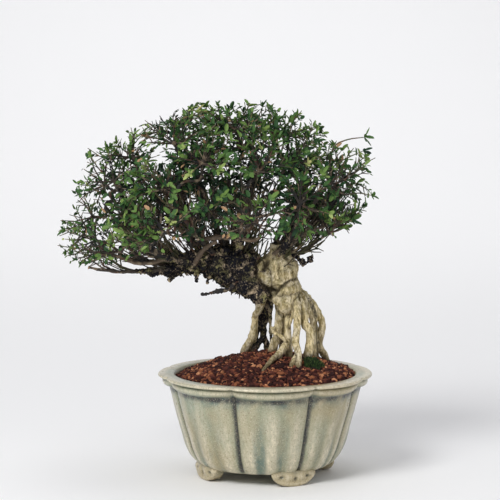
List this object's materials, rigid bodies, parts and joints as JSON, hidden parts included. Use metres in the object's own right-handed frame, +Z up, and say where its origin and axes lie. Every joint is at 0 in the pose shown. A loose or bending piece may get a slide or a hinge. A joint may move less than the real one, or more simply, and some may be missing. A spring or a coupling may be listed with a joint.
{
  "type": "winter jasmine bonsai",
  "caption": "Exposed-root winter jasmine bonsai with an airy domed crown, mounded soil and moss in a round lobed glazed pot on cloud feet.",
  "frame": {"origin": "middle of the whole part's box, on the surface that the pot's feet stand on", "axes": "+Z up, -Y the front that the picture shows, +X to the right, away from the side that the trunk leans to"},
  "size_m": [0.2342, 0.16, 0.2796],
  "materials": {
    "glaze": "satin celadon glaze",
    "screen_plastic": "matte",
    "soil": "matte baked clay granules",
    "moss": "matte",
    "wood": "matte bark",
    "leaf": "satin leaves"
  },
  "bodies": {
    "root": {"pot": "glaze", "drain_screen": "screen_plastic", "soil": "soil", "moss": "moss", "tree_wood": "wood", "spray_01": "leaf", "spray_02": "leaf", "spray_03": "leaf", "spray_04": "leaf", "spray_05": "leaf", "spray_06": "leaf", "spray_07": "leaf", "spray_08": "leaf", "spray_09": "leaf", "spray_10": "leaf", "spray_11": "leaf", "spray_12": "leaf", "spray_13": "leaf", "spray_14": "leaf", "spray_15": "leaf", "spray_16": "leaf", "spray_17": "leaf", "spray_18": "leaf", "spray_19": "leaf", "spray_20": "leaf", "spray_21": "leaf", "spray_22": "leaf", "spray_23": "leaf", "spray_24": "leaf", "spray_25": "leaf", "spray_26": "leaf", "spray_27": "leaf", "spray_28": "leaf", "spray_29": "leaf", "spray_30": "leaf", "spray_31": "leaf", "spray_32": "leaf", "spray_33": "leaf", "spray_34": "leaf", "spray_35": "leaf", "spray_36": "leaf", "spray_37": "leaf", "spray_38": "leaf", "spray_39": "leaf", "spray_40": "leaf", "spray_41": "leaf"}
  },
  "joints": []
}
